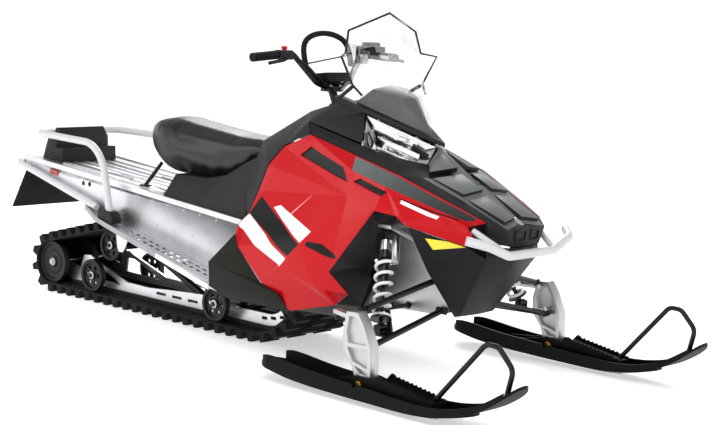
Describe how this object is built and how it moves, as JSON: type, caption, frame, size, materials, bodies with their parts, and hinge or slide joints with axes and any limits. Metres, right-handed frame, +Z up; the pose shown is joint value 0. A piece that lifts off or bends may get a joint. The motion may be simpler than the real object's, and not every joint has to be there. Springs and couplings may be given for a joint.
{
  "type": "snowmobile",
  "caption": "Long-track snowmobile with red side panels, black hood, clear windshield, cargo rail and ribbed rubber track.",
  "frame": {"origin": "on the snow under the middle of the machine's bounding box", "axes": "+X forward, +Y left, +Z up"},
  "size_m": [3.156, 1.212, 1.3135],
  "materials": {
    "bare_steel": "satin",
    "black_plastic": "matte",
    "black_steel": "satin",
    "cast_aluminium": "satin",
    "cast_engine": "rough",
    "chrome_trim": "mirror",
    "clear_lens": "gloss",
    "clear_screen": "gloss",
    "flap_rubber": "matte",
    "grey_plastic": "satin",
    "grip_rubber": "matte",
    "raw_aluminium": "brushed",
    "red_lens": "gloss",
    "red_plastic": "gloss",
    "seat_cover": "matte",
    "silver_steel": "satin",
    "ski_plastic": "satin",
    "track_rubber": "matte",
    "wheel_plastic": "matte",
    "white_steel": "gloss"
  },
  "bodies": {
    "chassis": {"a_arms": "black_steel", "belly_pan": "grey_plastic", "belly_tub": "black_plastic", "brow": "black_plastic", "bulkhead": "raw_aluminium", "cargo_rail": "silver_steel", "carrier_wheels": "wheel_plastic", "console": "black_plastic", "drive_axle": "bare_steel", "drop_brackets": "raw_aluminium", "engine": "cast_engine", "footwell_left": "black_plastic", "footwell_right": "black_plastic", "front_bumper": "silver_steel", "front_shocks": "bare_steel", "front_springs": "white_steel", "gauge_cowl": "grey_plastic", "headlight_lenses": "clear_lens", "headlight_reflectors": "chrome_trim", "hood": "black_plastic", "rail_feet": "black_plastic", "rail_wheels": "wheel_plastic", "rear_bumper": "silver_steel", "rear_idlers": "wheel_plastic", "rear_shock": "bare_steel", "red_lamps": "red_lens", "running_board_left": "raw_aluminium", "running_board_right": "raw_aluminium", "seat": "seat_cover", "seat_base": "black_plastic", "seat_strut": "black_steel", "side_panel_left": "red_plastic", "side_panel_right": "red_plastic", "slide_rails": "raw_aluminium", "slide_runners": "black_plastic", "snow_flap": "flap_rubber", "tail_light_housing": "black_plastic", "torque_arms": "black_steel", "track": "track_rubber", "tunnel": "raw_aluminium", "vent_screens": "black_plastic", "windshield": "clear_screen"},
    "steering_gear": {"steering_post": "black_steel", "handlebar": "black_steel", "grips": "grip_rubber", "bar_pad": "black_plastic", "bar_hoop": "grip_rubber"},
    "link": {"tie_rods": "black_steel"},
    "knuckle_right": {"spindle_right": "cast_aluminium"},
    "knuckle_left": {"spindle_left": "cast_aluminium"},
    "ski_assembly_right": {"ski_right": "ski_plastic", "ski_hardware_right": "bare_steel", "ski_loop_right": "black_steel"},
    "ski_assembly_left": {"ski_left": "ski_plastic", "ski_hardware_left": "bare_steel", "ski_loop_left": "black_steel"}
  },
  "joints": [
    {"name": "steering", "type": "hinge", "parent": "chassis", "child": "steering_gear", "pos_m": [0.183, 0, 1.012], "axis": [-0.4337, 0, 0.9011], "range_deg": [-35, 35]},
    {"name": "kingpin_right", "type": "hinge", "parent": "chassis", "child": "knuckle_right", "pos_m": [0.9, -0.5, 0.186], "axis": [-0.4226, 0, 0.9063], "range_deg": [-30, 30]},
    {"name": "kingpin_left", "type": "hinge", "parent": "chassis", "child": "knuckle_left", "pos_m": [0.9, 0.5, 0.186], "axis": [-0.4226, 0, 0.9063], "range_deg": [-30, 30]},
    {"name": "tie_rod_shift", "type": "slide", "parent": "chassis", "child": "link", "axis": [0, 1, 0], "range_m": [-0.06, 0.06]},
    {"name": "ski_pitch_right", "type": "hinge", "parent": "knuckle_right", "child": "ski_assembly_right", "pos_m": [0.919, -0.54, 0.067], "axis": [0, 1, 0], "range_deg": [-15, 8]},
    {"name": "ski_pitch_left", "type": "hinge", "parent": "knuckle_left", "child": "ski_assembly_left", "pos_m": [0.919, 0.54, 0.067], "axis": [0, 1, 0], "range_deg": [-15, 8]}
  ],
  "couplings": [
    {"joint": "kingpin_right", "follows": "steering", "ratio": 0.85714},
    {"joint": "kingpin_left", "follows": "steering", "ratio": 0.85714},
    {"joint": "tie_rod_shift", "follows": "steering", "m_per_rad": -0.096113}
  ]
}
